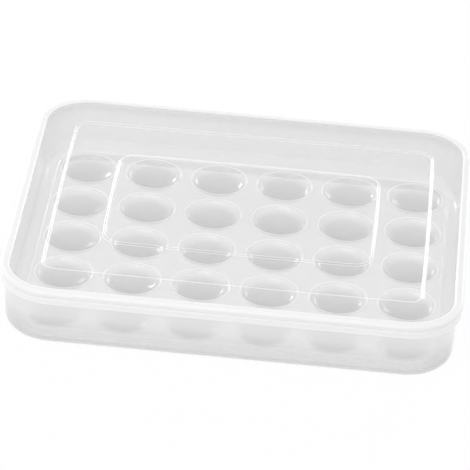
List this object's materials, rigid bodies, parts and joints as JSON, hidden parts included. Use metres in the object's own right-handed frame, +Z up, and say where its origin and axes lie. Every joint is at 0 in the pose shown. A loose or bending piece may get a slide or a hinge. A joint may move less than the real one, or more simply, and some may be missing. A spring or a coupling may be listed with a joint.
{
  "type": "egg storage box",
  "caption": "Shallow translucent box with dished egg seats moulded in its floor and a lift-off lid with a raised rim and a sunken band.",
  "frame": {"origin": "middle of the foot ring, on the surface that the box stands on", "axes": "+X along the long side, +Y to the back, +Z up"},
  "size_m": [0.3296, 0.2796, 0.047],
  "materials": {
    "tub_plastic": "clear to milky polypropylene, moulded, lightly glossy, seen through",
    "lid_plastic": "clear polypropylene, thin, with a soft satin gloss, seen through"
  },
  "bodies": {
    "tub_body": {"tub": "tub_plastic"},
    "lid_body": {"lid": "lid_plastic"}
  },
  "joints": [
    {"name": "lid_lift", "type": "slide", "parent": "tub_body", "child": "lid_body", "axis": [0, 0, 1], "range_m": [0, 0.08]}
  ]
}
